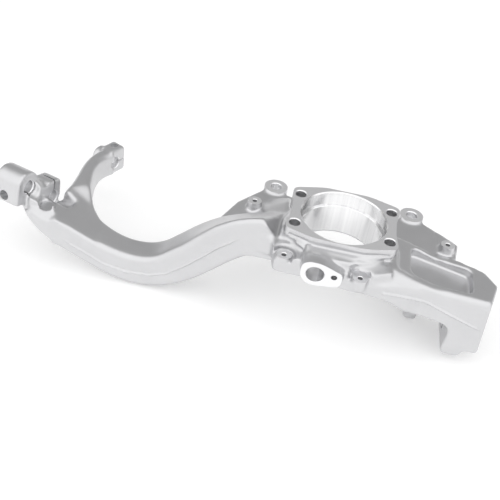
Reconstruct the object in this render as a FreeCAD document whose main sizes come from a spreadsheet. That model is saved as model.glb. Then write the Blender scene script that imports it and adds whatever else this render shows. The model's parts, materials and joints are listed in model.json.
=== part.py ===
"""Steering knuckle: one forged and machined aluminium piece, modelled as a parametric document in mm.

Frame: origin at the centre of the hub bore on the machined flange face, +Z outboard along the bore axis,
-X up the goose neck towards the control arm clamps, +X down to the lower ball joint seats, -Y the side
that carries the speed sensor boss and +Y the side of the two caliper ears.
"""
import FreeCAD, Part
import Sketcher
import math
import os

DIMENSIONS = {
    # hub flange, bearing bore and bearing bolts
    "bore_radius": 46.0,
    "bore_depth": 17.0,
    "shoulder_radius": 43.8,
    "hub_height": 44.0,
    "hub_wall": 14.0,
    "bolt_past_bore": 4.3,
    "bolt_row_y": 27.1,
    "bolt_hole_radius": 6.1,
    "bolt_lobe": 10.5,
    "flange_height": 13.0,
    "flange_belly": 3.4,
    # main body under the flange
    "body_top": -21.0,
    "body_thickness": 23.0,
    "near_wall_y": -62.0,
    # caliper ears
    "ear_x": 82.0,
    "ear_y": 92.0,
    "ear_radius": 14.5,
    "ear_hole_radius": 6.5,
    "ear_face": -40.0,
    "ear_thickness": 19.0,
    "web_top": -43.0,
    "web_thickness": 11.0,
    # dust shield bosses, left far, left near, right near, right far
    "shield_boss_radius": 8.6,
    "shield_hole_radius": 2.6,
    "shield_hole_depth": 14.0,
    "shield_scoop": 12.5,
    "shield_scoop_depth": 4.0,
    "shield_boss_depth": 14.0,
    "shield_left_far_x": -100.5,
    "shield_left_far_y": 42.0,
    "shield_far_face": -32.0,
    "shield_left_near_x": -54.0,
    "shield_left_near_y": -52.5,
    "shield_right_near_x": 27.0,
    "shield_right_near_y": -64.0,
    "shield_near_face": -25.0,
    "shield_right_far_x": 121.5,
    "shield_right_far_y": 36.0,
    # speed sensor boss on the near wall
    "sensor_face_y": -75.0,
    "sensor_x": -19.0,
    "sensor_z": -25.0,
    "sensor_radius": 9.3,
    "sensor_wall": 6.3,
    "sensor_screw_pitch": 19.5,
    "sensor_screw_radius": 3.0,
    "sensor_screw_depth": 16.0,
    # lower leg with its pocket, arch, foot and lug
    "leg_end": 171.0,
    "leg_near_y": -42.0,
    "leg_far_y": 24.0,
    "leg_far_end_y": 14.0,
    "leg_top": -42.0,
    "leg_bottom": -78.0,
    "leg_start": 40.0,
    "leg_start_top": -17.0,
    "leg_start_bottom": -46.0,
    "leg_yaw": -15.0,
    "leg_tilt": 4.5,
    "pocket_depth": 12.0,
    "pocket_near_y": -29.0,
    "pocket_far_y": 17.0,
    "pocket_far_end_y": 11.0,
    "pocket_start": 79.0,
    "pocket_length": 71.0,
    "pocket_tilt": 8.0,
    "foot_start": 136.0,
    "foot_bottom": -124.0,
    "arch_top": -84.0,
    "joint_bore_radius": 9.0,
    "joint_bore_z": -103.0,
    "joint_bore_y": -20.0,
    "lug_start": 95.0,
    "lug_length": 16.0,
    "lug_near_y": 10.0,
    "lug_width": 34.0,
    "lug_bottom": -130.0,
    "lug_bore_z": -107.0,
    # goose neck, its near flank and the edge bevel of its section
    "neck_near_y": -33.0,
    "neck_width": 39.0,
    "neck_bevel": 5.0,
    # fork branch towards the track rod clamp
    "branch_top": -60.0,
    "branch_height": 34.0,
    "branch_bevel": 4.0,
    # clamp for the front upper control arm, placed from the end of the neck
    "front_behind": 6.0,
    "front_inward": 20.0,
    "front_above": 6.0,
    "front_radius": 17.5,
    "front_length": 33.0,
    "front_jaw": 21.0,
    "front_corner": 3.0,
    # clamp for the rear upper control arm, placed from the front one
    "rear_spacing": 30.0,
    "rear_drop": 20.0,
    "rear_advance": 8.0,
    "rear_radius": 13.5,
    "rear_length": 22.0,
    "rear_jaw": 21.5,
    "rear_corner": 8.0,
    # both upper clamps share the pin size, the yaw, the roll and the pinch bolt
    "head_yaw": -18.0,
    "head_roll": 12.0,
    "pin_radius": 7.7,
    "slit_width": 2.4,
    "pinch_offset": 12.0,
    "pinch_back": 18.0,
    "pinch_radius": 5.7,
    "groove_start": 8.0,
    "front_groove_radius": 9.5,
    "front_groove_reach": 26.0,
    "rear_groove_radius": 10.5,
    "rear_groove_reach": 20.0,
    "groove_dip": 10.0,
    # clamp for the track rod, placed from the end of the branch
    "rod_ahead": 5.0,
    "rod_short": 1.5,
    "rod_under": 17.0,
    "rod_yaw": -27.0,
    "rod_radius": 12.5,
    "rod_length": 29.0,
    "rod_jaw": 17.5,
    "rod_seat_top": 18.0,
    "rod_seat_bottom": 16.0,
    "rod_seat_length": 19.0,
    "rod_bolt_back": 10.0,
    "rod_bolt_offset": 9.0,
    "rod_bolt_radius": 4.6,
}

# Stations of the goose neck from the hub to the clamps: middle x and z, lean of the section, thickness,
# how far the near flank stands back, how much wider than the plain neck the far side is, and how much
# lower the top is there.
NECK = [
    (-50.0, -30.0, 0.0, 32.0, 2.0, 26.0, 0.0),
    (-84.0, -28.0, -12.0, 48.0, 0.0, 20.0, 26.0),
    (-112.0, -41.0, -36.0, 48.0, 0.0, 8.0, 14.0),
    (-147.0, -74.0, -42.0, 45.5, 0.0, 0.0, 0.0),
    (-184.0, -103.5, -22.0, 43.0, 0.0, 0.0, 0.0),
    (-214.0, -112.5, 0.0, 41.0, 0.0, 0.0, 0.0),
    (-250.0, -107.0, 14.0, 38.0, 0.0, 0.0, 0.0),
    (-283.0, -94.0, 22.0, 35.0, 0.0, 8.0, 0.0),
    (-311.0, -79.0, 30.0, 35.0, 0.0, 12.0, 0.0),
    (-328.0, -65.0, 56.0, 36.0, 3.0, 14.0, 0.0),
    (-338.0, -57.0, 72.0, 32.0, 9.0, 14.0, 0.0),
    (-341.0, -46.0, 88.0, 29.0, 14.0, 14.0, 0.0),
]

# Stations of the fork branch: middle x and y, heading turned from +Y towards +X, and width.
BRANCH = [
    (-297.0, -10.0, -40.0, 26.0),
    (-307.0, 14.0, -14.0, 29.0),
    (-306.5, 38.0, -2.0, 25.0),
    (-309.0, 64.0, 0.0, 20.0),
    (-311.0, 90.0, 6.0, 17.5),
    (-305.0, 114.0, 28.0, 18.0),
    (-297.0, 125.0, 45.0, 18.0),
]

# Positions that follow other sizes, so that the pieces of the forging stay together when those change.
FOLLOWING = {
    "bolt_row_x": "bore_radius + bolt_past_bore",
    "front_x": "neck_x_l - front_behind",
    "front_y": "neck_near_y + front_inward",
    "front_z": "neck_z_l + front_above",
    "rod_x": "branch_x_g + rod_ahead",
    "rod_y": "branch_y_g - rod_short",
    "rod_z": "branch_top - rod_under",
}

doc = FreeCAD.newDocument("steering_knuckle")
sheet = doc.addObject("Spreadsheet::Sheet", "dims")


def cell(row, alias, value):
    """Write one driving dimension as a plain number with a word for its alias."""
    sheet.set(f"A{row}", alias)
    sheet.set(f"B{row}", str(value))
    sheet.setAlias(f"B{row}", alias)


rows = dict(DIMENSIONS)
for number, station in enumerate(NECK):
    for word, value in zip(("x", "z", "lean", "thick", "near", "extra", "drop"), station):
        rows[f"neck_{word}_{chr(97 + number)}"] = value
for number, station in enumerate(BRANCH):
    for word, value in zip(("x", "y", "heading", "width"), station):
        rows[f"branch_{word}_{chr(97 + number)}"] = value
for number, (alias, value) in enumerate(rows.items(), start=1):
    cell(number, alias, value)
doc.recompute()


def bound(expression):
    """Give every sheet alias in an expression its sheet, so that it can be bound to a property."""
    words, word = [], ""
    for letter in str(expression) + " ":
        if letter.isalnum() or letter in "_.":
            word += letter
            continue
        if word in FOLLOWING:
            words.append(f"({bound(FOLLOWING[word])})")
        else:
            words.append(f"dims.{word}" if word in rows else word)
        words.append(letter)
        word = ""
    return "".join(words).strip()


def value_of(expression):
    """Number that a sheet expression stands for."""
    return float(sheet.evalExpression(bound(expression)))


def new_sketch(name, origin=(0, 0, 0), turn=(0, 0, 0)):
    """Sketch moved by three expressions and turned by yaw, pitch and roll."""
    sketch = doc.addObject("Sketcher::SketchObject", name)
    for axis, expression in zip("xyz", origin):
        sketch.setExpression(f".Placement.Base.{axis}", bound(expression))
    for angle, expression in zip(("Yaw", "Pitch", "Roll"), turn):
        sketch.setExpression(f".Placement.Rotation.{angle}", bound(expression))
    return sketch


def bind(sketch, constraint, expression):
    """Add a constraint with a size and bind that size to the sheet."""
    number = sketch.addConstraint(constraint)
    sketch.setExpression(f"Constraints[{number}]", bound(expression))


def bind_point(sketch, item, vertex, place):
    """Hold one point of a sketch at two sheet expressions."""
    for kind, expression in zip(("DistanceX", "DistanceY"), place):
        bind(sketch, Sketcher.Constraint(kind, -1, 1, item, vertex, value_of(expression)), expression)


def circles(name, places, origin=(0, 0, 0), turn=(0, 0, 0)):
    """Sketch of circles, each given by its middle and radius."""
    sketch = new_sketch(name, origin, turn)
    for x, y, radius in places:
        middle = FreeCAD.Vector(value_of(x), value_of(y), 0)
        item = sketch.addGeometry(Part.Circle(middle, FreeCAD.Vector(0, 0, 1), value_of(radius)))
        bind(sketch, Sketcher.Constraint("Radius", item, value_of(radius)), radius)
        bind_point(sketch, item, 3, (x, y))
    return sketch


def corner_arc(middle, radius, enter, leave):
    """Short arc about a middle between two points on it."""
    first = math.atan2(enter.y - middle.y, enter.x - middle.x)
    last = math.atan2(leave.y - middle.y, leave.x - middle.x)
    if (last - first) % (2 * math.pi) > math.pi:
        first, last = last, first
    circle = Part.Circle(middle, FreeCAD.Vector(0, 0, 1), radius)
    return Part.ArcOfCircle(circle, first, first + (last - first) % (2 * math.pi))


def outline(name, corners, origin=(0, 0, 0), turn=(0, 0, 0)):
    """Closed sketch of straight sides whose corners are rounded by an arc where they have a radius."""
    sketch = new_sketch(name, origin, turn)
    points = [FreeCAD.Vector(value_of(x), value_of(y), 0) for x, y, _ in corners]
    count = len(points)
    starts, ends, arcs = [], [], []
    for number, (point, corner) in enumerate(zip(points, corners)):
        back = (points[number - 1] - point).normalize()
        onward = (points[(number + 1) % count] - point).normalize()
        radius = value_of(corner[2])
        half = back.getAngle(onward) / 2
        reach = radius / math.tan(half)
        starts.append(point + back * reach)
        ends.append(point + onward * reach)
        middle = point + (back + onward).normalize() * (radius / math.sin(half))
        arcs.append(corner_arc(middle, radius, starts[-1], ends[-1]) if radius else None)
    lines = [sketch.addGeometry(Part.LineSegment(ends[number], starts[(number + 1) % count]))
             for number in range(count)]
    for number, (corner, arc) in enumerate(zip(corners, arcs)):
        before, after = lines[number - 1], lines[number]
        if arc is None:
            sketch.addConstraint(Sketcher.Constraint("Coincident", before, 2, after, 1))
            bind_point(sketch, after, 1, corner[:2])
            continue
        item = sketch.addGeometry(arc)
        enter, leave = (1, 2) if arc.StartPoint.distanceToPoint(starts[number]) < 1e-6 else (2, 1)
        sketch.addConstraint(Sketcher.Constraint("Tangent", before, 2, item, enter))
        sketch.addConstraint(Sketcher.Constraint("Tangent", item, leave, after, 1))
        bind(sketch, Sketcher.Constraint("Radius", item, value_of(corner[2])), corner[2])
        shift = arc.Center - points[number]
        bind_point(sketch, item, 3, (f"{corner[0]} + {shift.x:.9f}", f"{corner[1]} + {shift.y:.9f}"))
    return sketch


def rectangle(name, low, high, radius, origin=(0, 0, 0), turn=(0, 0, 0)):
    """Rectangle sketch from its low corner to its high corner with all corners rounded."""
    corners = [(low[0], low[1], radius), (high[0], low[1], radius),
               (high[0], high[1], radius), (low[0], high[1], radius)]
    return outline(name, corners, origin, turn)


def bevelled(name, low, high, bevel, drop, origin, turn):
    """Rectangle sketch with bevelled corners whose top drops towards its far side."""
    far_top = f"{high[1]} - {drop}"
    corners = [(f"{low[0]} + {bevel}", low[1]), (f"{high[0]} - {bevel}", low[1]),
               (high[0], f"{low[1]} + {bevel}"), (high[0], f"{far_top} - {bevel}"),
               (f"{high[0]} - {bevel}", far_top), (f"{low[0]} + {bevel}", high[1]),
               (low[0], f"{high[1]} - {bevel}"), (low[0], f"{low[1]} + {bevel}")]
    return outline(name, [(x, y, "0") for x, y in corners], origin, turn)


def extrusion(sketch, length, midplane=False, backwards=False):
    """Solid of a sketch drawn along its normal by a bound length."""
    item = doc.addObject("Part::Extrusion", f"solid_{sketch.Name}")
    item.Base = sketch
    item.DirMode = "Normal"
    item.Solid = True
    item.Symmetric = midplane
    item.Reversed = backwards
    item.setExpression("LengthFwd", bound(length))
    sketch.Visibility = False
    return item


def loft(name, sections):
    """Smooth solid through section sketches."""
    item = doc.addObject("Part::Loft", name)
    item.Sections = sections
    item.Solid = True
    item.Ruled = False
    return item


def fused(name, items):
    """One solid of several."""
    item = doc.addObject("Part::MultiFuse", name)
    item.Shapes = items
    item.Refine = False
    return item


def carved(name, base, tools):
    """What is left of a solid when the tools are cut from it."""
    item = doc.addObject("Part::Cut", name)
    item.Base = base
    item.Tool = fused(f"{name}_tools", tools) if len(tools) > 1 else tools[0]
    item.Refine = False
    return item


def goose_neck():
    """S-shaped neck of rounded sections that stand square to its sweep in the XZ plane."""
    sections = []
    for number in range(len(NECK)):
        tail = chr(97 + number)
        half = f"neck_thick_{tail} / 2"
        near = f"neck_near_y + neck_near_{tail}"
        far = f"neck_near_y + neck_width + neck_extra_{tail}"
        sections.append(bevelled(f"neck_section_{tail}", (near, f"-{half}"), (far, half), "neck_bevel",
                                 f"neck_drop_{tail}", (f"neck_x_{tail}", 0, f"neck_z_{tail}"),
                                 (90, 0, f"90 + neck_lean_{tail}")))
    return loft("goose_neck", sections)


def fork_branch():
    """Branch that leaves the end of the neck and curls over to the track rod clamp."""
    sections = []
    for number in range(len(BRANCH)):
        tail = chr(97 + number)
        half = f"branch_width_{tail} / 2"
        sections.append(bevelled(f"branch_section_{tail}", (f"-{half}", "branch_top - branch_height"),
                                 (half, "branch_top"), "branch_bevel", 0,
                                 (f"branch_x_{tail}", f"branch_y_{tail}", 0),
                                 (f"-branch_heading_{tail}", 0, 90)))
    return loft("fork_branch", sections)


def hub():
    """Ring round the bearing bore with the machined flange on top."""
    ring = circles("hub_ring", [(0, 0, "bore_radius + hub_wall")], (0, 0, "-hub_height"))
    lobe_x, lobe_y = "bolt_row_x + bolt_lobe", "bolt_row_y + bolt_lobe"
    waist = "bore_radius + bolt_lobe"
    belly = "bore_radius + flange_belly"
    corners = []
    for side_x, side_y in ((1, 1), (-1, 1), (-1, -1), (1, -1)):
        lobe = (f"{side_x} * ({lobe_x})", f"{side_y} * ({lobe_y})", "bolt_lobe * 0.8")
        flank = (f"{side_x} * ({waist})", f"{side_y} * bolt_row_y * 0.45", "bolt_lobe * 0.8")
        crown = (f"{side_x} * bolt_row_x * 0.5", f"{side_y} * ({belly})", "bore_radius * 0.6")
        corners += [flank, lobe, crown] if side_x * side_y > 0 else [crown, lobe, flank]
    flange = outline("flange", corners, (0, 0, "-flange_height"))
    return [extrusion(ring, "hub_height - flange_height + 2"), extrusion(flange, "flange_height")]


def shield_places(words, radius):
    """Middles of the named dust shield bosses, each with the radius of a circle to draw there."""
    return [(f"shield_{word}_x", f"shield_{word}_y", radius) for word in words]


def main_body():
    """Plate under the flange that carries the near wall, the ears' webs and the shield bosses."""
    web = [
        ("-bolt_row_x - 48", "neck_near_y", "12"),
        ("-bolt_row_x", "neck_near_y", "12"),
        ("bolt_row_x", "leg_near_y + 4", "16"),
        ("leg_start + 60", "leg_near_y + 4", "6"),
        ("shield_right_far_x + shield_boss_radius * 1.4", "leg_far_y + 2", "4"),
        ("shield_right_far_x + shield_boss_radius * 1.8",
         "shield_right_far_y + shield_boss_radius * 2", "4"),
        ("ear_x + ear_radius * 1.9", "ear_y - ear_radius * 1.1", "6"),
        ("ear_x + ear_radius * 0.7", "ear_y - ear_radius * 0.3", "6"),
        ("bore_radius + hub_wall", "ear_y - ear_radius * 0.6", "14"),
        ("bore_radius * 0.7", "bore_radius + hub_wall * 0.8", "14"),
        ("-bore_radius * 0.7", "bore_radius + hub_wall * 0.8", "14"),
        ("-bore_radius - hub_wall", "ear_y - ear_radius * 0.6", "14"),
        ("-ear_x - ear_radius * 0.95", "ear_y - ear_radius * 0.4", "8"),
        ("shield_left_far_x - shield_boss_radius * 2.4", "shield_left_far_y + 8", "14"),
        ("shield_left_far_x - shield_boss_radius * 4.8", "-8", "12"),
    ]
    near = [
        ("-bolt_row_x - 40", "neck_near_y", "12"),
        ("shield_left_near_x - shield_boss_radius * 1.7", "neck_near_y - 4", "8"),
        ("shield_left_near_x - shield_boss_radius * 1.1", "shield_left_near_y - shield_boss_radius", "6"),
        ("sensor_x", "near_wall_y", "30"),
        ("shield_right_near_x", "shield_right_near_y - shield_boss_radius * 0.6", "12"),
        ("bolt_row_x + 14", "leg_near_y - 6", "16"),
        ("bolt_row_x + 14", "0", "6"),
        ("-bolt_row_x - 40", "0", "6"),
    ]
    near_words, far_words = ("left_near", "right_near"), ("left_far", "right_far")
    scoop_floor = "shield_near_face - shield_scoop_depth"
    wall = outline("near_wall", near, (0, 0, "body_top"))
    scoops = circles("shield_scoops", shield_places(near_words, "shield_scoop"), (0, 0, scoop_floor))
    ears = circles("ears", [(f"{side} * ear_x", "ear_y", "ear_radius") for side in (-1, 1)],
                   (0, 0, "ear_face"))
    near_bosses = circles("shield_bosses_near", shield_places(near_words, "shield_boss_radius"),
                          (0, 0, "shield_near_face"))
    far_bosses = circles("shield_bosses_far", shield_places(far_words, "shield_boss_radius"),
                         (0, 0, "shield_far_face"))
    return [carved("scooped_wall", extrusion(wall, "body_thickness", backwards=True),
                   [extrusion(scoops, f"body_top + 2 - ({scoop_floor})")]),
            extrusion(outline("lower_web", web, (0, 0, "web_top")), "web_thickness", backwards=True),
            extrusion(ears, "ear_thickness", backwards=True),
            extrusion(near_bosses, "shield_boss_depth", backwards=True),
            extrusion(far_bosses, "shield_boss_depth", backwards=True)]


def lower_leg():
    """Leg down to the ball joint seats: a side profile with arch and foot, cut square at a turned end."""
    profile = [
        ("leg_start - 30", "leg_start_top + 2", "6"),
        ("leg_start + 34", "leg_start_top - 12", "30"),
        ("leg_start + 68", "leg_top + 3", "40"),
        ("leg_end + 30", "leg_top - 2", "0"),
        ("leg_end + 30", "foot_bottom + 10", "0"),
        ("foot_start + 25", "foot_bottom + 10", "3"),
        ("foot_start + 20", "foot_bottom", "5"),
        ("foot_start - 1", "foot_bottom", "6"),
        ("foot_start + 1", "arch_top", "13"),
        ("leg_start + 60", "leg_bottom + 1", "6"),
        ("leg_start + 38", "leg_bottom + 6", "20"),
        ("leg_start + 10", "leg_start_bottom - 4", "20"),
        ("leg_start - 30", "leg_start_bottom", "4"),
    ]
    side = [
        ("leg_start - 8", "leg_start_top - 16", "0"),
        ("leg_start + 30", "leg_start_top - 16", "0"),
        ("leg_start + 62", "leg_top", "0"),
        ("leg_start + 62", "leg_bottom", "0"),
        ("leg_start + 43", "leg_bottom + 6", "8"),
        ("leg_start + 20", "leg_bottom + 22", "16"),
        ("leg_start - 8", "leg_start_bottom + 2", "0"),
    ]
    beyond_flank = [
        ("leg_start - 8", "shield_right_near_y - shield_boss_radius * 0.4", "0"),
        ("leg_start + 62", "leg_near_y", "0"),
        ("leg_start + 70", "shield_right_near_y - shield_boss_radius * 2", "0"),
        ("leg_start - 8", "shield_right_near_y - shield_boss_radius * 2", "0"),
    ]
    beyond_far_side = [
        ("foot_start - 6", "leg_far_y", "0"),
        ("leg_end - 5", "leg_far_end_y", "4"),
        ("leg_end + 10", "leg_far_end_y - 22", "0"),
        ("leg_end + 50", "leg_far_end_y - 22", "0"),
        ("leg_end + 50", "leg_far_y + 20", "0"),
        ("foot_start - 6", "leg_far_y + 20", "0"),
    ]
    leg = outline("leg_profile", profile, (0, "leg_near_y", 0), (0, 0, 90))
    end = rectangle("leg_end_face", ("-leg_far_y - 40", "foot_bottom - 20"), ("70", "20"), "0",
                    ("leg_end", "leg_near_y / 2", 0), ("leg_yaw + 90", 0, "90 - leg_tilt"))
    trim = outline("leg_far_side", beyond_far_side, (0, 0, 20))
    flank = outline("near_flank", side, (0, "leg_near_y + 8", 0), (0, 0, 90))
    slope = outline("near_flank_slope", beyond_flank)
    foot = rectangle("far_foot", ("lug_start", "lug_near_y"),
                     ("lug_start + lug_length", "lug_near_y + lug_width"), "4", (0, 0, "web_top - 2"))
    return [carved("cut_leg", extrusion(leg, "leg_far_y - leg_near_y", backwards=True),
                   [extrusion(end, "60"), extrusion(trim, "40 - foot_bottom", backwards=True)]),
            carved("cut_flank",
                   extrusion(flank, "leg_near_y + 8 - shield_right_near_y + shield_boss_radius"),
                   [extrusion(slope, "-foot_bottom", backwards=True)]),
            extrusion(foot, "web_top - 2 - lug_bottom", backwards=True)]


def sensor_boss():
    """Teardrop boss on the near wall with the sensor bore and its screw hole."""
    corners = [
        ("sensor_x - sensor_radius - sensor_wall", "sensor_z + sensor_radius + sensor_wall", "10"),
        ("sensor_x + sensor_radius * 0.5", "sensor_z + sensor_radius + sensor_wall", "14"),
        ("sensor_x + sensor_screw_pitch + 9", "sensor_z + 7", "6"),
        ("sensor_x + sensor_screw_pitch + 8", "sensor_z - 10", "7"),
        ("sensor_x - sensor_radius - sensor_wall", "sensor_z - sensor_radius - sensor_wall", "15"),
    ]
    boss = outline("sensor_boss", corners, (0, "sensor_face_y", 0), (0, 0, 90))
    return [extrusion(boss, "-sensor_face_y - bore_radius - 4", backwards=True)]


# Middles of the three clamps' end faces, and the turns of the planes that their outlines are drawn on.
FRONT = ("front_x", "front_y", "front_z")
REAR = (
    "front_x + rear_advance * cos(head_yaw) - rear_spacing * sin(head_yaw)",
    "front_y + rear_advance * sin(head_yaw) + rear_spacing * cos(head_yaw)",
    "front_z - rear_spacing * sin(head_roll) - rear_drop",
)
ROD = ("rod_x", "rod_y", "rod_z")
HEAD_TURN = ("head_yaw + 90", "head_roll", "90")
GROOVE_TURN = ("head_yaw + 90", "head_roll", "90 + groove_dip")
ROD_TURN = ("rod_yaw + 90", 0, 90)


def clamp(name, origin, radius, jaw, length, corner, over=1):
    """Clamp body behind its end face: half round over the bore with two jaws on the other side."""
    low, high = f"-{over} * {jaw}", f"{over} * {radius}"
    corners = [(f"-{radius}", high, f"{radius} * 0.96"), (radius, high, f"{radius} * 0.96"),
               (radius, low, corner), (f"-{radius}", low, corner)]
    return extrusion(outline(name, corners, origin, HEAD_TURN), length, backwards=True)


def clamps():
    """Front and rear upper clamps at the end of the neck and the track rod clamp on the branch."""
    barrel = circles("rod_barrel", [(0, 0, "rod_radius")], ROD, ROD_TURN)
    seat = rectangle("rod_seat", ("-rod_radius * 0.5", "-rod_seat_bottom"), ("rod_jaw", "rod_seat_top"),
                     "3", ROD, ROD_TURN)
    return [clamp("front_clamp", FRONT, "front_radius", "front_jaw", "front_length", "front_corner"),
            clamp("rear_clamp", REAR, "rear_radius", "rear_jaw", "rear_length", "rear_corner", over=-1),
            extrusion(barrel, "rod_length", backwards=True),
            extrusion(seat, "rod_seat_length", backwards=True)]


def hole(name, places, depth, origin=(0, 0, 0), turn=(0, 0, 0)):
    """Round holes cut against the normal of their sketch."""
    return extrusion(circles(name, places, origin, turn), depth, backwards=True)


def body_holes():
    """Leg pocket, bearing bore, bolt, ear and shield holes, sensor holes and ball joint bores."""
    bolts = [(f"{x} * bolt_row_x", f"{y} * bolt_row_y", "bolt_hole_radius")
             for x in (-1, 1) for y in (-1, 1)]
    ears = [(f"{side} * ear_x", "ear_y", "ear_hole_radius") for side in (-1, 1)]
    near = shield_places(("left_near", "right_near"), "shield_hole_radius")
    far = shield_places(("left_far", "right_far"), "shield_hole_radius")
    face, turn = (0, "sensor_face_y", 0), (0, 0, 90)
    screw = [("sensor_x + sensor_screw_pitch", "sensor_z + 1", "sensor_screw_radius")]
    leg_turn = ("leg_yaw + 90", 0, 90)
    near_joint = ("leg_end + 20", "joint_bore_y + 20 * tan(leg_yaw)", "joint_bore_z")
    far_joint = ("lug_start + lug_length + 4", "lug_near_y + lug_width / 2", "lug_bore_z")
    joint = [(0, 0, "joint_bore_radius")]
    sensor = circles("sensor_bore", [("sensor_x", "sensor_z", "sensor_radius")], face, turn)
    around = [(0, "pocket_near_y", "8"), ("pocket_length", "pocket_near_y", "8"),
              ("pocket_length", "pocket_far_end_y", "8"), (0, "pocket_far_y", "8")]
    pocket = outline("leg_pocket", around, ("pocket_start", 0, "leg_top + 11 - pocket_depth"),
                     (0, "pocket_tilt", 0))
    return [extrusion(pocket, "-leg_top"),
            hole("bearing_bore", [(0, 0, "bore_radius")], "bore_depth"),
            hole("bearing_shoulder", [(0, 0, "shoulder_radius")], "hub_height * 1.4"),
            hole("bearing_bolt_holes", bolts, "hub_height * 1.4"),
            hole("ear_holes", ears, "ear_thickness * 1.2", (0, 0, "ear_face")),
            hole("shield_holes_near", near, "shield_hole_depth", (0, 0, "shield_near_face")),
            hole("shield_holes_far", far, "shield_hole_depth", (0, 0, "shield_far_face")),
            extrusion(sensor, "-sensor_face_y - shoulder_radius + 6", backwards=True),
            extrusion(circles("sensor_screw", screw, face, turn), "sensor_screw_depth", backwards=True),
            hole("near_joint_bore", joint, "80", near_joint, leg_turn),
            hole("far_joint_bore", joint, "lug_length + 16", far_joint, leg_turn)]


def head_holes():
    """Bores, slits, tool grooves and bolt holes of the three clamps."""
    half = "slit_width / 2"
    pin = [(0, 0, "pin_radius")]
    ahead = ("groove_start * cos(head_yaw)", "groove_start * sin(head_yaw)", "0")
    items = []
    for name, place, slit in (("front", FRONT, (f"-{half}", "-front_jaw - 12", half, 0)),
                              ("rear", REAR, (f"-{half}", 0, half, "rear_jaw + 6"))):
        mouth = [f"{middle} + {step}" for middle, step in zip(place, ahead)]
        groove = circles(f"{name}_groove", [(0, 0, f"{name}_groove_radius")], mouth, GROOVE_TURN)
        items.append(hole(f"{name}_bore", pin, f"groove_start + {name}_length + 8", mouth, HEAD_TURN))
        items.append(extrusion(rectangle(f"{name}_slit", slit[:2], slit[2:], "0", place, HEAD_TURN),
                               f"{name}_length + 8", backwards=True))
        items.append(extrusion(groove, f"{name}_groove_reach"))
    slit = rectangle("rod_slit", (0, f"-{half}"), ("rod_jaw + 1", half), "0", ROD, ROD_TURN)
    pinch = circles("pinch_hole", [("pinch_back", "-pinch_offset", "pinch_radius")], FRONT,
                    ("head_yaw + 180", 0, "90 + head_roll"))
    bolt = circles("rod_bolt_hole", [("-rod_bolt_back", "rod_bolt_offset", "rod_bolt_radius")], ROD,
                   ("rod_yaw", 0, 0))
    return items + [hole("rod_bore", pin, "rod_length + 1", ROD, ROD_TURN),
                    extrusion(slit, "rod_length + 1", backwards=True),
                    extrusion(pinch, "4 * (rear_spacing + rear_radius)", midplane=True),
                    extrusion(bolt, "4 * rod_seat_top", midplane=True)]


hub_and_web = fused("hub_and_web", hub() + main_body() + sensor_boss())
body = fused("body", [hub_and_web, fused("leg", lower_leg())])
head = fused("head", [fused("neck_and_fork", [goose_neck(), fork_branch()])] + clamps())
blank = fused("forging", [body, head])
knuckle = carved("knuckle", blank, body_holes() + head_holes())
knuckle.Label = "steering_knuckle"
doc.recompute()

for item in doc.Objects:
    if "Invalid" in item.State or "Error" in item.State:
        raise RuntimeError(f"{item.Name} failed: {item.State}")
    if item.isDerivedFrom("Part::Feature") and (item.Shape.isNull() or not item.Shape.isValid()):
        raise RuntimeError(f"{item.Name} has no valid shape")
if len(knuckle.Shape.Solids) != 1:
    raise RuntimeError(f"the knuckle is {len(knuckle.Shape.Solids)} solids")
for whole in (body, head, blank):
    parts = whole.Shapes
    if whole.Shape.Volume < max(part.Shape.Volume for part in parts) * 1.02:
        raise RuntimeError(f"{whole.Name} has lost some of its parts")

os.makedirs("parts", exist_ok=True)
knuckle.Shape.exportStep(f"parts/{knuckle.Label}.step")
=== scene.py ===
import bpy
import bmesh
import json
import math
import numpy as np
from mathutils import Matrix, Vector


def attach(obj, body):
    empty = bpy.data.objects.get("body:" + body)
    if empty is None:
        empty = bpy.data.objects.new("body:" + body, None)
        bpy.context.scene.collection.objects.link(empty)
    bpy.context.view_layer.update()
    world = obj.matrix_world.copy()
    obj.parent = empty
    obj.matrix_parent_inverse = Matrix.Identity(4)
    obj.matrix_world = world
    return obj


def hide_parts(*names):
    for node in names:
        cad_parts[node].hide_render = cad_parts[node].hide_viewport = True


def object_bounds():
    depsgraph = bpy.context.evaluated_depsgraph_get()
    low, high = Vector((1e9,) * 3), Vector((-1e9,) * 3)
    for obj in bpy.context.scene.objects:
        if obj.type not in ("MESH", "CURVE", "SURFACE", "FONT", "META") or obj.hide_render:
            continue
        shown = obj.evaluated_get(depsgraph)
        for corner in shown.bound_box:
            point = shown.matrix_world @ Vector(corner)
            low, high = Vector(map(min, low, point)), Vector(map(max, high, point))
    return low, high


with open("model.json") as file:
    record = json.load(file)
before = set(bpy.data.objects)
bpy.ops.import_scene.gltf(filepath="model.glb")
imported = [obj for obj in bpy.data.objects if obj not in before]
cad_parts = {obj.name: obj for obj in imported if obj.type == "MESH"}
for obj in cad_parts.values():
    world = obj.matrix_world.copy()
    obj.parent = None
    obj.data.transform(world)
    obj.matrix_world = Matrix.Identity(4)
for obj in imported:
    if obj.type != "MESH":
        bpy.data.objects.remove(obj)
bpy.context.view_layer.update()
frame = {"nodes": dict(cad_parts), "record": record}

MM = 0.001
X, Y, Z = Vector((1, 0, 0)), Vector((0, 1, 0)), Vector((0, 0, 1))
ORIGIN = Vector((0, 0, 0))
MOUNTS = {mount["name"]: mount for mount in frame["record"]["mounts"]}


def mount_place(name):
    """Middle of a mount in mm."""
    return Vector([value / MM for value in MOUNTS[name]["pos_m"]])


def mount_size(name, size="r_mm"):
    """Size of a mount in mm, its radius unless another is named."""
    return MOUNTS[name]["dims"][size]


def on_face(name, axis, level):
    """Place of a mount, moved along one axis to the machined face that its hole starts from."""
    place = mount_place(name)
    place[axis] = level
    return place


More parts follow.
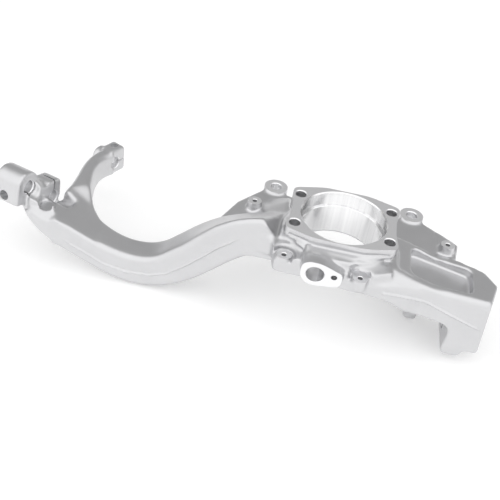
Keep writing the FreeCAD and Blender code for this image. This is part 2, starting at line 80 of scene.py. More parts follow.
def mouth(name, outwards, lead=0.0):
    """Middle of the face that a bore starts from; its mount reaches ahead of that face by the lead."""
    return mount_place(name) + outwards * (mount_size(name, "length_mm") / 2 - lead)


def level_direction(degrees):
    """Level unit vector, turned from X by an angle."""
    return Vector((math.cos(math.radians(degrees)), math.sin(math.radians(degrees)), 0))


# Directions of the upper clamps, the track rod clamp, the lower leg and the open mouth before the front bore
HEAD_ROLL = math.radians(12)
HEAD_OUT = level_direction(-18)
HEAD_ACROSS = Z.cross(HEAD_OUT) * math.cos(HEAD_ROLL) - Z * math.sin(HEAD_ROLL)
HEAD_UP = HEAD_OUT.cross(HEAD_ACROSS)
ROD_OUT = level_direction(-27)
ROD_ACROSS = Z.cross(ROD_OUT)
LEG_OUT = level_direction(-15)
MOUTH_DIP = math.radians(18)
MOUTH_OUT = (HEAD_OUT * math.cos(MOUTH_DIP) - HEAD_UP * math.sin(MOUTH_DIP)).normalized()

# Heights of the machined faces, the sensor's along Y, and the metal that stands over each before it is cut
EAR_Z, FAR_BOSS_Z, NEAR_BOSS_Z, SENSOR_Y = -40, -32, -25, -75
FLANGE_STOCK, EAR_STOCK, BOSS_STOCK, SENSOR_STOCK = 3.5, 2.5, 2.0, 2.5

# Radii of the holes
BEARING_RADIUS = mount_size("hub_bore")
SHOULDER_RADIUS = 43.8
BOLT_RADIUS = mount_size("hub_bolts", "hole_r_mm")
EAR_RADIUS = mount_size("caliper_left")
SHIELD_RADIUS = mount_size("shield_left_far")
SENSOR_RADIUS = mount_size("speed_sensor")
SCREW_RADIUS = mount_size("sensor_screw")
CLAMP_RADIUS = mount_size("front_upper_arm")
PINCH_RADIUS = mount_size("pinch_bolt")
ROD_BOLT_RADIUS = mount_size("track_rod_bolt")
JOINT_RADIUS = mount_size("near_ball_joint")
SLIT_HALF = 1.2

# Places that the holes start from, and points on the clamps' bolts
BOLT_X, BOLT_Y = [mount_size("hub_bolts", size) / 2 for size in ("spacing_x_mm", "spacing_y_mm")]
BOLTS = [Vector((x, y, 0)) for x in (-BOLT_X, BOLT_X) for y in (-BOLT_Y, BOLT_Y)]
EARS = [on_face(name, 2, EAR_Z) for name in ("caliper_left", "caliper_right")]
SHIELD_FAR = [on_face(name, 2, FAR_BOSS_Z) for name in ("shield_left_far", "shield_right_far")]
SHIELD_NEAR = [on_face(name, 2, NEAR_BOSS_Z) for name in ("shield_left_near", "shield_right_near")]
SENSOR = on_face("speed_sensor", 1, SENSOR_Y)
SCREW = on_face("sensor_screw", 1, SENSOR_Y)
FRONT = mouth("front_upper_arm", HEAD_OUT, 7.2)
REAR = mouth("rear_upper_arm", HEAD_OUT, 7.75)
ROD = mouth("track_rod", ROD_OUT)
NEAR_JOINT = mouth("near_ball_joint", LEG_OUT, 8.7)
FAR_JOINT = mount_place("far_ball_joint")
PINCH = mouth("pinch_bolt", HEAD_ACROSS, -SLIT_HALF)
ROD_BOLT = on_face("track_rod_bolt", 2, ROD.z)

# Middle of the round hollow in the neck's end, into which that mouth opens
CUP = Vector((-326, -12, 0))

# Parting line of the forging on the near flanks, as (x, z) points
NECK_LINE = [(-303, -86), (-290, -92), (-274, -99), (-254, -109), (-227, -113.5), (-200, -111), (-180, -103),
             (-161, -87), (-143, -69), (-126, -51), (-114, -41), (-103, -31)]
LEG_LINE = [(50, -41.5), (60, -43.5), (74, -47), (100, -54.5), (126, -64), (152, -73), (172, -79)]

# Crease and lip below the flange, as (x, z) points
CREASE_LINE = [(-66, -9), (-52, -8), (-36, -7.5), (-20, -7), (0, -7), (20, -7), (40, -8), (58, -9)]
LIP_LINE = [(-66, -16), (-52, -15), (-36, -14), (-20, -13), (0, -13), (20, -14), (40, -16)]

# Each line's height, half width, least turn of its flank towards -Y, and the y that it stays in front of
RIDGES = [(NECK_LINE, 2.0, 2.1, 0.5, -22), (LEG_LINE, 2.0, 2.1, 0.5, -34),
          (CREASE_LINE, -1.7, 3.2, 0.25, -40), (LIP_LINE, 1.3, 3.2, 0.25, -42)]

# Rolled edge below the flange and the leg's top near edge
ROLL = [(-67, -34, -0.5), (-56, -40, -0.5), (-34, -46.5, -0.5), (-14, -48, -0.5), (20, -48, -0.5),
        (40, -45.5, -0.5)]
LEG_EDGE = [(60, -44, -23), (90, -41.5, -35), (118, -39.5, -42), (162, -39, -45), (182, -39, -47.5)]

# Top of the neck where the fork branch leaves it: its fill, and the surface that it is cut down to
FORK_TOP = [(-316, -31, -60), (-305, -31, -64), (-292, -31, -70), (-276, -31, -78), (-262, -31, -85),
            (-262, 0, -84), (-276, 8, -76), (-286, 24, -66), (-300, 26, -61), (-316, 20, -60)]
FORK_CUT = [(x, -48, z) for x, y, z in FORK_TOP[:5]] + [(-262, 14, -84), (-274, 24, -74), (-283, 40, -63.5),
                                                        (-300, 42, -60), (-316, 30, -60)]

# Smoothing of parts of the skin: ranges of x, y and z, then the weight; a later one overrides an earlier one
FAR = 1e4
SOFTNESS = {
    "upper clamps": ((-FAR, -316), (-FAR, 60), (-FAR, FAR), 0.45),
    "root of the fork": ((-326, -296), (-6, 46), (-FAR, -46), 1.5),
    "top of the fork": ((-318, -276), (14, 52), (-80, FAR), 1.7),
    "track rod clamp": ((-FAR, -276), (100, FAR), (-FAR, FAR), 0.45),
    "pocket of the leg": ((76, 156), (-34, 22), (-60, FAR), 0.3),
    "sensor boss": ((-42, 22), (-FAR, -64), (-FAR, FAR), 0.5),
    "edge below the flange": ((-76, 60), (-FAR, -34), (-30, FAR), 0.8),
    "near flank of the leg": ((62, FAR), (-FAR, -36), (-75, FAR), 1.8),
}

# Making of the skin: cell size, rounds and steps of its smoothing, share of its faces that are kept
VOXEL = 1.2
EVEN_ROUNDS, EVEN_SHRINK, EVEN_SWELL = 10, 0.55, -0.50
BLEND_ROUNDS, BLEND_STEP = (18), 0.5
KEPT_FACES = 0.48

# Camera fitted to the photo, with its focal length in pixels of the photo's width
EYE = Vector((-42.871, -668.623, 460.981)) * MM
RIGHT = Vector((0.97546, 0.17743, 0.13034))
DOWN = Vector((0.21209, -0.59849, -0.77255))
FORWARD = Vector((-0.05907, 0.78123, -0.62144))
FOCAL_PIXELS, PHOTO_WIDTH = 758.4, 500
FILM_WIDTH = 36

# Brightness of the studio by angle, from the far horizon (0) over the top to the near horizon (1)
STUDIO = [(0.0, 0.95), (0.06, 0.62), (0.11, 0.45), (0.30, 0.45), (0.40, 0.80), (0.47, 1.35), (0.60, 1.30),
          (0.85, 1.30), (1.0, 1.05)]

# How strongly the floor glows to the camera and to the metal, so that it shows white
FLOOR_GLOW = 0.20


def frame_matrix(place, x_axis, y_axis, z_axis):
    """Matrix with these unit axes as columns, moved to a place."""
    matrix = Matrix((x_axis, y_axis, z_axis)).transposed().to_4x4()
    matrix.translation = place
    return matrix


WORLD = Matrix.Identity(4)
SIDE = frame_matrix(ORIGIN, X, Z, -Y)
FRONT_HEAD = frame_matrix(FRONT, HEAD_ACROSS, HEAD_UP, HEAD_OUT)
REAR_HEAD = frame_matrix(REAR, HEAD_ACROSS, HEAD_UP, HEAD_OUT)
ROD_HEAD = frame_matrix(ROD, ROD_ACROSS, Z, ROD_OUT)


def new_material(name):
    """Node material, its tree and its shader."""
    material = bpy.data.materials.new(name)
    material.use_nodes = True
    tree = material.node_tree
    shader = tree.nodes["Principled BSDF"]
    return material, tree, shader


def node(tree, kind, **values):
    """Node with its inputs and properties set."""
    item = tree.nodes.new(kind)
    for key, value in values.items():
        if key in item.inputs:
            item.inputs[key].default_value = value
        else:
            setattr(item, key, value)
    return item


def value_range(tree, start, end):
    """Node that maps 0 to 1 onto a range."""
    ramp = node(tree, "ShaderNodeMapRange")
    ramp.inputs["To Min"].default_value = start
    ramp.inputs["To Max"].default_value = end
    return ramp


def colour_mix(tree, first, second):
    """Node that mixes two colours."""
    shade = node(tree, "ShaderNodeMix", data_type="RGBA")
    shade.inputs["A"].default_value = first
    shade.inputs["B"].default_value = second
    return shade


def forged_aluminium():
    """Blasted forging skin: fine grain, faint blotches and a satin sheen."""
    material, tree, shader = new_material("forged_aluminium")
    shader.inputs["Metallic"].default_value = 1.0
    place = node(tree, "ShaderNodeTexCoord")
    grain = node(tree, "ShaderNodeTexNoise", Scale=700.0, Detail=3.0, Roughness=0.6)
    blotch = node(tree, "ShaderNodeTexNoise", Scale=60.0, Detail=4.0, Roughness=0.6)
    tone = node(tree, "ShaderNodeTexNoise", Scale=22.0, Detail=5.0, Roughness=0.65)
    roughness = value_range(tree, 0.30, 0.44)
    shade = colour_mix(tree, (0.61, 0.61, 0.62, 1), (0.69, 0.69, 0.70, 1))
    bump = node(tree, "ShaderNodeBump", Strength=0.25, Distance=0.0003)
    waves = node(tree, "ShaderNodeBump", Strength=0.12, Distance=0.002)
    for texture in (grain, blotch, tone):
        tree.links.new(place.outputs["Object"], texture.inputs["Vector"])
    tree.links.new(blotch.outputs["Fac"], roughness.inputs["Value"])
    tree.links.new(roughness.outputs["Result"], shader.inputs["Roughness"])
    tree.links.new(tone.outputs["Fac"], shade.inputs["Factor"])
    tree.links.new(shade.outputs["Result"], shader.inputs["Base Color"])
    tree.links.new(blotch.outputs["Fac"], waves.inputs["Height"])
    tree.links.new(grain.outputs["Fac"], bump.inputs["Height"])
    tree.links.new(waves.outputs["Normal"], bump.inputs["Normal"])
    tree.links.new(bump.outputs["Normal"], shader.inputs["Normal"])
    return material


def machined_aluminium():
    """Cut faces: brighter, with fine tool marks."""
    material, tree, shader = new_material("machined_aluminium")
    shader.inputs["Base Color"].default_value = (0.90, 0.90, 0.91, 1)
    shader.inputs["Metallic"].default_value = 1.0
    place = node(tree, "ShaderNodeTexCoord")
    marks = node(tree, "ShaderNodeTexNoise", Scale=500.0, Detail=2.0, Roughness=0.5)
    roughness = value_range(tree, 0.34, 0.44)
    bump = node(tree, "ShaderNodeBump", Strength=0.08, Distance=0.0002)
    tree.links.new(place.outputs["Object"], marks.inputs["Vector"])
    tree.links.new(marks.outputs["Fac"], roughness.inputs["Value"])
    tree.links.new(roughness.outputs["Result"], shader.inputs["Roughness"])
    tree.links.new(marks.outputs["Fac"], bump.inputs["Height"])
    tree.links.new(bump.outputs["Normal"], shader.inputs["Normal"])
    return material


def bored_aluminium():
    """Bored walls: smooth, with faint light and dark streaks along the bore painted into the colour as
    painted reflections (glints).
    """
    material, tree, shader = new_material("bored_aluminium")
    shader.inputs["Metallic"].default_value = 1.0
    shader.inputs["Roughness"].default_value = 0.17
    place = node(tree, "ShaderNodeTexCoord")
    stretch = node(tree, "ShaderNodeMapping", Scale=(1.0, 1.0, 0.03))
    # Painted reflection: noise stretched along the bore lays light and dark glint streaks into the base
    # colour, from 0.70 to 0.98.
    painted_glint_streaks = node(tree, "ShaderNodeTexNoise", Scale=260.0, Detail=3.0, Roughness=0.6)
    shade = colour_mix(tree, (0.70, 0.70, 0.71, 1), (0.98, 0.98, 0.98, 1))
    bump = node(tree, "ShaderNodeBump", Strength=0.15, Distance=0.0005)
    tree.links.new(place.outputs["Object"], stretch.inputs["Vector"])
    tree.links.new(stretch.outputs["Vector"], painted_glint_streaks.inputs["Vector"])
    tree.links.new(painted_glint_streaks.outputs["Fac"], shade.inputs["Factor"])
    tree.links.new(shade.outputs["Result"], shader.inputs["Base Color"])
    tree.links.new(painted_glint_streaks.outputs["Fac"], bump.inputs["Height"])
    tree.links.new(bump.outputs["Normal"], shader.inputs["Normal"])
    return material


# The materials, and the numbers of their slots on every mesh
MATERIALS = [forged_aluminium(), machined_aluminium(), bored_aluminium()]
FORGED, MACHINED, BORED = 0, 1, 2


def solid(name, bm, material):
    """Object from a bmesh, with its faces turned outwards and one material number."""
    bmesh.ops.recalc_face_normals(bm, faces=bm.faces)
    mesh = bpy.data.meshes.new(name)
    bm.to_mesh(mesh)
    bm.free()
    for slot in MATERIALS:
        mesh.materials.append(slot)
    for polygon in mesh.polygons:
        polygon.material_index = material
    item = bpy.data.objects.new(name, mesh)
    bpy.context.scene.collection.objects.link(item)
    return item


def lathe(name, place, axis, profile, material=MACHINED, steps=72):
    """Closed solid turned round an axis from (distance along it, radius) pairs."""
    helper = Z if abs(axis.z) < 0.9 else X
    x_axis = helper.cross(axis).normalized()
    y_axis = axis.cross(x_axis)
    bm = bmesh.new()
    rings = []
    for along, radius in profile:
        ring = []
        for step in range(steps):
            turn = 2 * math.pi * step / steps
            out = x_axis * math.cos(turn) + y_axis * math.sin(turn)
            ring.append(bm.verts.new(place + axis * along + out * radius))
        rings.append(ring)
    for first, second in zip(rings, rings[1:]):
        for step in range(steps):
            after = (step + 1) % steps
            bm.faces.new((first[step], first[after], second[after], second[step]))
    bm.faces.new(list(reversed(rings[0])))
    bm.faces.new(rings[-1])
    return solid(name, bm, material)


def drill(name, place, axis, radius, back, ahead, chamfer=0.9):
    """Cutter for a drilled hole whose mouth at the place has a small chamfer."""
    over = 0.02
    wide = radius + chamfer
    return lathe(name, place, axis, [(-back, radius), (-chamfer, radius), (0, wide), (over, wide + over),
                                     (ahead, wide + over)])


def blind_drill(name, place, axis, radius, depth, steps):
    """Cutter for a tapped hole with a drill's point and a chamfer."""
    point, tip, chamfer, ahead = 1.5, 0.1, 0.7, 3
    return lathe(name, place, axis, [(-depth - point, tip), (-depth, radius), (-chamfer, radius),
                                     (0, radius + chamfer), (ahead, radius + chamfer)], MACHINED, steps)


def block(name, matrix, size_low, size_high, material=MACHINED):
    """Closed box in its own frame."""
    bm = bmesh.new()
    bmesh.ops.create_cube(bm, size=1)
    for vert in bm.verts:
        local = [size_low[k] if vert.co[k] < 0 else size_high[k] for k in range(3)]
        vert.co = matrix @ Vector(local)
    return solid(name, bm, material)


def prism(name, matrix, points, start, end, material=MACHINED):
    """Closed solid from an outline in its own frame's first two axes."""
    bm = bmesh.new()
    bottom = [bm.verts.new(matrix @ Vector((x, y, start))) for x, y in points]
    top = [bm.verts.new(matrix @ Vector((x, y, end))) for x, y in points]
    bm.faces.new(bottom)
    bm.faces.new(top)
    for number in range(len(points)):
        after = (number + 1) % len(points)
        bm.faces.new((bottom[number], bottom[after], top[after], top[number]))
    return solid(name, bm, material)


def hull(name, points, matrix=WORLD):
    """Convex forged solid round a few points."""
    bm = bmesh.new()
    for point in points:
        bm.verts.new(matrix @ Vector(point))
    made = bmesh.ops.convex_hull(bm, input=bm.verts)
    spare = {v for v in made["geom_interior"] + made["geom_unused"] if isinstance(v, bmesh.types.BMVert)}
    bmesh.ops.delete(bm, geom=list(spare), context="VERTS")
    return solid(name, bm, FORGED)


def slab(name, tops, bottom):
    """Convex fill below a few points of the surface, down to one height."""
    return hull(name, tops + [(x, y, bottom) for x, y, z in tops])


def bevels(name, line, reach, drop, above=30):
    """Cuts along a line of points that slope down and outwards on its right-hand side."""
    items = []
    for number, (start, end) in enumerate(zip(line, line[1:])):
        start, end = Vector(start), Vector(end)
        along = (end - start).normalized()
        out = Vector((along.y, -along.x, 0)).normalized() * reach
        points = []
        for place in (start - along, end + along):
            points += [place, place + out - Z * drop, place + out + Z * above, place + Z * above]
        items.append(hull(f"{name}_{number}", points))
    return items


def round_slot(radius, height, steps=24):
    """Outline of a slot with a round bottom that is open upwards."""
    turns = [math.pi + math.pi * step / steps for step in range(steps + 1)]
    bottom = [(radius * math.cos(turn), radius * math.sin(turn)) for turn in turns]
    return bottom + [(radius, height), (-radius, height)]


def cad_copy():
    """Copy of the CAD piece in mm."""
    piece = bpy.data.objects.new("forging", frame["nodes"]["steering_knuckle"].data.copy())
    piece.data.transform(Matrix.Scale(1 / MM, 4))
    piece.data.materials.clear()
    for slot in MATERIALS:
        piece.data.materials.append(slot)
    bpy.context.scene.collection.objects.link(piece)
    return piece


def faces_on(mesh, point, normal, reach=0.05):
    """Polygons of a mesh that lie on a plane and look along its normal."""
    found = []
    for polygon in mesh.polygons:
        if polygon.normal.dot(normal) > 0.999 and abs((polygon.center - point).dot(normal)) < reach:
            found.append(polygon)
    return found


def stock(name, mesh, point, normal, height, below=-1.0):
    """Machining allowance: the CAD faces on a plane drawn outwards by a height."""
    bm = bmesh.new()
    verts = {}

    def vert(number, lift):
        if (number, lift) not in verts:
            verts[number, lift] = bm.verts.new(mesh.vertices[number].co + normal * lift)
        return verts[number, lift]

    sides = {}
    for polygon in faces_on(mesh, point, normal):
        loop = list(polygon.vertices)
        bm.faces.new([vert(number, height) for number in loop])
        bm.faces.new([vert(number, below) for number in reversed(loop)])
        for start, end in zip(loop, loop[1:] + loop[:1]):
            if (end, start) in sides:
                del sides[end, start]
            else:
                sides[start, end] = True
    for start, end in sides:
        bm.faces.new((vert(start, below), vert(end, below), vert(end, height), vert(start, height)))
    return solid(name, bm, FORGED)


def plugs(mesh):
    """Solids that fill every machined hole and slit and stand a little over every machined face."""
    spare, sensor_spare, screw_spare = 0.7, 0.3, 0.6
    slit_half = 2
    holes = [
        ("plug_sensor", [SENSOR], -Y, SENSOR_RADIUS + sensor_spare, -40, SENSOR_STOCK),
        ("plug_screw", [SCREW], -Y, SCREW_RADIUS + screw_spare, -17, SENSOR_STOCK),
        ("plug_bolt", BOLTS, Z, BOLT_RADIUS + spare, -53, FLANGE_STOCK),
        ("plug_ear", EARS, Z, EAR_RADIUS + spare, -19, EAR_STOCK),
        ("plug_shield", SHIELD_FAR + SHIELD_NEAR, Z, SHIELD_RADIUS + spare, -15, BOSS_STOCK),
        ("plug_front", [FRONT], HEAD_OUT, CLAMP_RADIUS + spare, -33, 1.5),
        ("plug_rear", [REAR], HEAD_OUT, CLAMP_RADIUS + spare, -22, 1.5),
        ("plug_rod", [ROD], ROD_OUT, CLAMP_RADIUS + spare, -29, 0),
        ("plug_pinch", [PINCH], HEAD_ACROSS, PINCH_RADIUS + spare, -17.5, 17.5),
        ("plug_pinch_rear", [PINCH], HEAD_ACROSS, PINCH_RADIUS + spare, 22, 47),
        ("plug_rod_bolt", [ROD_BOLT], Z, ROD_BOLT_RADIUS + spare, -16, 16),
        ("plug_near_joint", [NEAR_JOINT], LEG_OUT, JOINT_RADIUS + spare, -36, 7.5),
        ("plug_far_joint", [FAR_JOINT], LEG_OUT, JOINT_RADIUS + spare, -8, 8),
    ]
    items = [
        stock("stock_flange", mesh, ORIGIN, Z, FLANGE_STOCK),
        stock("stock_ears", mesh, EARS[0], Z, EAR_STOCK),
        stock("stock_far_bosses", mesh, SHIELD_FAR[0], Z, BOSS_STOCK),
        stock("stock_near_bosses", mesh, SHIELD_NEAR[0], Z, BOSS_STOCK),
        stock("stock_sensor", mesh, SENSOR, -Y, SENSOR_STOCK),
        lathe("plug_bearing", ORIGIN, Z, [(-50, 20), (-46, 45), (FLANGE_STOCK, BEARING_RADIUS + 1)], FORGED),
        block("plug_front_slit", FRONT_HEAD, (-slit_half, -21, -33), (slit_half, 0, 0), FORGED),
        block("plug_rear_slit", REAR_HEAD, (-slit_half, 0, -22), (slit_half, 21.5, 0), FORGED),
        block("plug_rod_slit", ROD_HEAD, (0, -slit_half, -19), (17.5, slit_half, 0), FORGED),
    ]
    for name, places, axis, radius, back, ahead in holes:
        for place in places:
            items.append(lathe(name, place, axis, [(back, radius), (ahead, radius)], FORGED))
    return items


def fills():
    """Forged flanks that run between the features of the CAD solid."""
    fork_far = [(-297, 48, -61), (-285, 24, -66), (-300, -4, -70), (-314, 22, -61)]
    fork_near = [(-286, 26, -66), (-268, 1, -82), (-257, -8, -88), (-282, -14, -78), (-302, -6, -69)]
    left = [(-60, 20, -20), (-62, 40, -22), (-60, 60, -30), (-72, 66, -36), (-95, 66, -49), (-108, 55, -52),
            (-112, 30, -50), (-80, 0, -30)]
    right = [(20, -50, -14), (24, -60, -18), (40, -46, -17), (40, -59, -21.5), (62, -34, -21),
             (62, -46, -24.5), (92, -38, -34), (92, -41, -35)]
    web_corner = [(110, 70, -40.5), (124, 62, -41), (137, 53, -41.5), (134, 26, -43), (112, 30, -40)]
    ledge = [(-36, -60, -15), (-34, -50, -8), (22, -50, -8), (14, -62, -14), (0, -62, -14)]
    saddle = [(9.5, -8, -2), (9.5, 9, -2), (9.5, -8, 9), (9.5, 0, 9), (22, -14, 9), (22, -6, 9),
              (22, -14, -2), (22, 2, -2)]
    return [
        slab("fill_fork_far", fork_far, -94),
        slab("fill_fork_near", fork_near, -104),
        slab("fill_fork_top", FORK_TOP, -100),
        slab("fill_left", left, -56),
        slab("fill_right", right, -50),
        slab("fill_web_corner", web_corner, -58),
        slab("fill_ledge", ledge, -40),
        hull("fill_saddle", saddle, FRONT_HEAD),
    ]


def carvings():
    """Hollows of the forging, cut before its skin is smoothed."""
    above_fork = -30
    between_clamps = [(11, -8, 8.6), (11, -13, 20), (11, -14, 36), (25, -17, 8.6), (25, -15.5, 20),
                      (25, -17, 36), (11, 40, 8.6), (11, 40, 36), (25, 40, 8.6), (25, 40, 36)]
    behind_rear = [(across, up, along) for across, bottom in ((45, -8), (60, -5))
                   for up in (bottom, 40) for along in (8.4, 34)]
    before_rear = [(across, up + rise, along) for across, up in round_slot(10.5, 40)
                   for along, rise in ((0.4, 0), (27, 5))]
    before_front = [(-0.3, -6, 0.3), (-34, -6, 0.3), (-16, -6, 24), (-34, -6, 24), (-0.3, -26, 0.3),
                    (-34, -26, 0.3), (-15, -26, 16), (-34, -26, 16), (-15, -33, 0.3), (-34, -34, 0.3)]
    crest = [(x, y, z) for x, edge in ((-345, -77), (-328, -77), (-311, -66))
             for y, z in ((-20, -57 - (x + 345) * 0.06), (-45, edge), (-20, above_fork), (-45, above_fork))]
    valley = [(-88, 4), (-84, -2), (-77, -9), (-70, -18), (-66, -21), (-63.5, -21), (-63.5, 4)]
    ledge_floor = [(20, -53, -12), (20, -66, -15), (46, -49, -16), (46, -70, -20), (66, -38, -20),
                   (66, -60, -25)]
    items = [
        hull("carve_head_mid", between_clamps, FRONT_HEAD),
        hull("carve_head_far", behind_rear, FRONT_HEAD),
        hull("carve_fork_top", FORK_CUT + [(x, y, above_fork) for x, y, z in FORK_CUT]),
        hull("carve_recess", before_rear, REAR_HEAD),
        hull("carve_head_near", before_front, FRONT_HEAD),
        hull("carve_crest", crest),
        prism("carve_valley", SIDE, valley, -45, 62),
        hull("carve_ledge_right", ledge_floor + [(x, y, 6) for x, y, z in ledge_floor]),
        lathe("carve_mouth", FRONT + HEAD_OUT * 4, MOUTH_OUT, [(0, 10), (24, 10)], FORGED),
        lathe("carve_cup", CUP, Z, [(-61, 10), (0, 13)], FORGED),
    ]
    items += bevels("carve_roll", ROLL, reach=14, drop=12)
    items += bevels("carve_leg_edge", LEG_EDGE, reach=8, drop=8)
    return items


def face_cutters():
    """Cuts of the machined faces."""
    spots = [("cut_ear", EARS, 18.5, 8), ("cut_boss", SHIELD_FAR + SHIELD_NEAR, 11.5, 5)]
    items = [block("cut_flange", WORLD, (-90, -62, 0), (90, 62, 12))]
    for name, places, radius, height in spots:
        for place in places:
            items.append(lathe(name, place, Z, [(0, radius), (height, radius)]))
    items.append(block("cut_sensor", WORLD, (-50, SENSOR_Y - 10, -60), (30, SENSOR_Y, 5)))
    return items


def hole_cutters():
    """Cuts of the bores and holes that start from a face."""
    drilled = [
        ("bore_bolt", BOLTS, Z, BOLT_RADIUS, 60, 5),
        ("bore_ear", EARS, Z, EAR_RADIUS, 26, 5),
        ("bore_sensor", [SENSOR], -Y, SENSOR_RADIUS, 38, 5),
        ("bore_front", [FRONT], HEAD_OUT, CLAMP_RADIUS, 40, 8),
        ("bore_rear", [REAR], HEAD_OUT, CLAMP_RADIUS, 30, 8),
        ("bore_rod", [ROD], ROD_OUT, CLAMP_RADIUS, 38, 5),
    ]
    seat, relief, chamfer = -17, 0.6, 1.2
    bearing = [(-62, SHOULDER_RADIUS), (seat - relief, SHOULDER_RADIUS), (seat, SHOULDER_RADIUS + relief),
               (seat, BEARING_RADIUS), (-chamfer, BEARING_RADIUS), (0.02, BEARING_RADIUS + chamfer),
               (5, BEARING_RADIUS + chamfer)]
    # The bearing bore's walls carry the painted glint streaks of the bored material.
    items = [lathe("bore_bearing", ORIGIN, Z, bearing, BORED, steps=192)]
    for name, places, axis, radius, back, ahead in drilled:
        for place in places:
            items.append(drill(name, place, axis, radius, back, ahead))
    for place in SHIELD_FAR + SHIELD_NEAR:
        items.append(blind_drill("bore_shield", place, Z, SHIELD_RADIUS, depth=14, steps=32))
    items.append(blind_drill("bore_screw", SCREW, -Y, SCREW_RADIUS, depth=16, steps=48))
    return items


def clamp_cutters():
    """Cuts of the clamps' slits and of the bolts and joints that pass right through."""
    through = [
        ("bore_pinch", PINCH, HEAD_ACROSS, PINCH_RADIUS, -60, 60),
        ("bore_rod_bolt", ROD_BOLT, Z, ROD_BOLT_RADIUS, -30, 30),
        ("bore_near_joint", NEAR_JOINT, LEG_OUT, JOINT_RADIUS, -42, 20),
        ("bore_far_joint", FAR_JOINT, LEG_OUT, JOINT_RADIUS, -18, 12),
    ]
    items = [
        block("slit_front", FRONT_HEAD, (-SLIT_HALF, -33, -36), (SLIT_HALF, 0, 3)),
        block("slit_front_low", FRONT_HEAD, (-17, -27.4, -36), (SLIT_HALF, -25.4, 3)),
        lathe("floor_cup", CUP, Z, [(-61.5, 8.5), (-44, 10)], FORGED),
        block("slit_rear", REAR_HEAD, (-SLIT_HALF, 0, -25), (SLIT_HALF, 26, 3)),
        block("slit_rod", ROD_HEAD, (0, -SLIT_HALF, -34), (22, SLIT_HALF, 3)),
    ]
    for name, place, axis, radius, back, ahead in through:
        items.append(lathe(name, place, axis, [(back, radius), (ahead, radius)]))
    return items


def join(items):
    """Join objects into the first."""
    bpy.ops.object.select_all(action="DESELECT")
    for item in items:
        item.select_set(True)
    bpy.context.view_layer.objects.active = items[0]
    bpy.ops.object.join()
    return items[0]


def apply_all(item, tools):
    """Apply an object's modifiers, and remove the tools that they used."""
    depsgraph = bpy.context.evaluated_depsgraph_get()
    item.data = bpy.data.meshes.new_from_object(item.evaluated_get(depsgraph))
    item.modifiers.clear()
    for tool in tools:
        bpy.data.objects.remove(tool)


def add_skin(item):
    """One closed skin of even cells over everything in the object."""
    remesh = item.modifiers.new("skin", "REMESH")
    remesh.mode = "VOXEL"
    remesh.voxel_size = VOXEL


def cut_with(item, tools):
    """Subtract each tool exactly."""
    for tool in tools:
        cut = item.modifiers.new(tool.name, "BOOLEAN")
        cut.operation = "DIFFERENCE"
        cut.solver = "MANIFOLD"
        cut.object = tool


def read_rows(collection, attribute, width, kind):
    """One row of numbers for each element of a mesh."""
    values = np.empty(len(collection) * width, kind)
    collection.foreach_get(attribute, values)
    return values.reshape(-1, width)


def move_vertices(mesh, co):
    """Give the vertices of a mesh new places."""
    mesh.vertices.foreach_set("co", co.astype(np.float32).ravel())
    mesh.update()


def relax(co, edges, weight, rounds, step):
    """Move each vertex towards the mean of its neighbours by a weighted step."""
    count = len(co)
    first, second = edges[:, 0], edges[:, 1]
    degree = np.bincount(first, minlength=count) + np.bincount(second, minlength=count)
    for _ in range(rounds):
        total = np.empty_like(co)
        for k in range(3):
            total[:, k] = (np.bincount(first, co[second, k], count)
                           + np.bincount(second, co[first, k], count))
        co = co + (total / degree[:, None] - co) * (step * weight)[:, None]
    return co


def softness(co):
    """How much of the smoothing each vertex takes."""
    weight = np.ones(len(co))
    for *ranges, share in SOFTNESS.values():
        inside = np.ones(len(co), bool)
        for k, (start, end) in enumerate(ranges):
            inside &= (co[:, k] > start) & (co[:, k] < end)
        weight[inside] = share
    return weight


def near_line(co, points):
    """Distance of each vertex to a line of (x, z) points, and how far along it the nearest point lies."""
    flat = co[:, (0, 2)]
    best = np.full(len(co), np.inf)
    share = np.zeros(len(co))
    for number, (start, end) in enumerate(zip(points, points[1:])):
        start, end = np.array(start), np.array(end)
        step = end - start
        along = np.clip(((flat - start) @ step) / (step @ step), 0, 1)
        reach = np.linalg.norm(flat - start - along[:, None] * step, axis=1)
        closer = reach < best
        best[closer] = reach[closer]
        share[closer] = (number + along[closer]) / (len(points) - 1)
    return best, share


def raise_ridges(mesh, co):
    """Raise the dies' parting ridges, and the crease and lip below the flange, on flanks that look to -Y."""
    normals = read_rows(mesh.vertices, "normal", 3, np.float32)
    end_fade, flank_fade = 12, 3
    for points, height, half, steep, nearest in RIDGES:
        reach, share = near_line(co, points)
        shape = np.clip(1 - reach / half, 0, 1)
        shape = shape * shape * (3 - 2 * shape)
        shape *= np.clip(np.minimum(share, 1 - share) * end_fade, 0, 1)
        shape *= np.clip((-normals[:, 1] - steep) * flank_fade, 0, 1) * (co[:, 1] < nearest)
        co = co + normals * (height * shape)[:, None]
    return co


def smooth_skin(mesh):
    """Take the steps off the skin, blend its edges as a forging's are, and raise the ridges."""
    co = read_rows(mesh.vertices, "co", 3, np.float32).astype(float)
    edges = read_rows(mesh.edges, "vertices", 2, np.int32)
    weight = softness(co)
    even = np.ones(len(co))
    for _ in range(EVEN_ROUNDS):
        co = relax(co, edges, even, 1, EVEN_SHRINK)
        co = relax(co, edges, even, 1, EVEN_SWELL)
    co = relax(co, edges, weight, BLEND_ROUNDS, BLEND_STEP)
    move_vertices(mesh, co)
    move_vertices(mesh, raise_ridges(mesh, co))


def forge():
    """One skin over the CAD copy and its plugs, with forged blends, then the machining."""
    blank = cad_copy()
    whole = join([blank] + plugs(blank.data) + fills())
    hollows = carvings()
    add_skin(whole)
    cut_with(whole, hollows)
    add_skin(whole)
    apply_all(whole, hollows)
    smooth_skin(whole.data)
    fewer = whole.modifiers.new("fewer", "DECIMATE")
    fewer.ratio = KEPT_FACES
    tools = face_cutters() + hole_cutters() + clamp_cutters()
    cut_with(whole, tools)
    apply_all(whole, tools)
    return whole


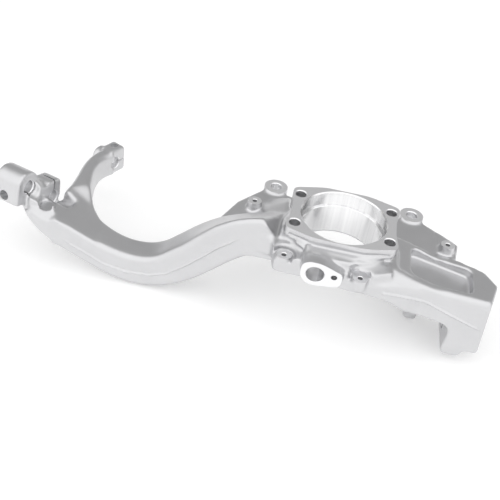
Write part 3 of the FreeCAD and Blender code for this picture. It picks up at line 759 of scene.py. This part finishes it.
def add_knuckle():
    """The finished piece, in metres."""
    knuckle = forge()
    knuckle.name = "knuckle"
    knuckle.data.transform(Matrix.Scale(MM, 4))
    for polygon in knuckle.data.polygons:
        polygon.use_smooth = True
    knuckle.data.set_sharp_from_angle(angle=math.radians(35))
    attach(knuckle, "root")
    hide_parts("steering_knuckle")


def add_floor(size=12, gap=0.0005):
    """Floor, shown white to the camera and to the metal, with the shadow kept."""
    bpy.ops.mesh.primitive_plane_add(size=size, location=(0, 0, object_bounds()[0].z - gap))
    floor = bpy.context.object
    floor.name = "floor"
    material, tree, shader = new_material("floor_white")
    shader.inputs["Base Color"].default_value = (0.93, 0.93, 0.93, 1)
    shader.inputs["Roughness"].default_value = 0.22
    rays = node(tree, "ShaderNodeLightPath")
    camera_or_glossy = node(tree, "ShaderNodeMath", operation="MAXIMUM")
    any_ray = node(tree, "ShaderNodeMath", operation="MAXIMUM")
    strength = node(tree, "ShaderNodeMath", operation="MULTIPLY")
    strength.inputs[1].default_value = FLOOR_GLOW
    glow = node(tree, "ShaderNodeEmission")
    both = node(tree, "ShaderNodeAddShader")
    tree.links.new(rays.outputs["Is Camera Ray"], camera_or_glossy.inputs[0])
    tree.links.new(rays.outputs["Is Glossy Ray"], camera_or_glossy.inputs[1])
    tree.links.new(camera_or_glossy.outputs[0], any_ray.inputs[0])
    tree.links.new(rays.outputs["Is Transmission Ray"], any_ray.inputs[1])
    tree.links.new(any_ray.outputs[0], strength.inputs[0])
    tree.links.new(strength.outputs[0], glow.inputs["Strength"])
    tree.links.new(shader.outputs[0], both.inputs[0])
    tree.links.new(glow.outputs[0], both.inputs[1])
    tree.links.new(both.outputs[0], tree.nodes["Material Output"].inputs["Surface"])
    floor.data.materials.append(material)


def add_light():
    """Soft studio light: white low down, a broad light overhead, a grey flag high up on the far side."""
    world = bpy.data.worlds.new("studio")
    bpy.context.scene.world = world
    world.use_nodes = True
    tree = world.node_tree
    background = tree.nodes["Background"]
    background.inputs["Strength"].default_value = 1.0
    place = node(tree, "ShaderNodeTexCoord")
    split = node(tree, "ShaderNodeSeparateXYZ")
    lift = node(tree, "ShaderNodeMath", operation="ABSOLUTE")
    angle = node(tree, "ShaderNodeMath", operation="ARCTAN2")
    share = node(tree, "ShaderNodeMath", operation="DIVIDE")
    share.inputs[1].default_value = math.pi
    ramp = node(tree, "ShaderNodeValToRGB")
    elements = ramp.color_ramp.elements
    for position, level in STUDIO[1:-1]:
        elements.new(position)
    for element, (position, level) in zip(elements, STUDIO):
        element.position = position
        element.color = (level, level, level, 1)
    tree.links.new(place.outputs["Generated"], split.inputs[0])
    tree.links.new(split.outputs["Z"], lift.inputs[0])
    tree.links.new(lift.outputs[0], angle.inputs[0])
    tree.links.new(split.outputs["Y"], angle.inputs[1])
    tree.links.new(angle.outputs[0], share.inputs[0])
    tree.links.new(share.outputs[0], ramp.inputs["Fac"])
    tree.links.new(ramp.outputs["Color"], background.inputs["Color"])


def add_camera():
    """Camera at the photo's viewpoint."""
    lens = bpy.data.cameras.new("camera")
    lens.sensor_width = FILM_WIDTH
    lens.lens = FILM_WIDTH * FOCAL_PIXELS / PHOTO_WIDTH
    lens.clip_start = 0.01
    camera = bpy.data.objects.new("camera", lens)
    camera.matrix_world = frame_matrix(EYE, RIGHT, -DOWN, -FORWARD)
    bpy.context.scene.collection.objects.link(camera)
    bpy.context.scene.camera = camera


add_knuckle()
add_floor()
add_light()
add_camera()
bpy.context.scene.view_settings.view_transform = "Standard"
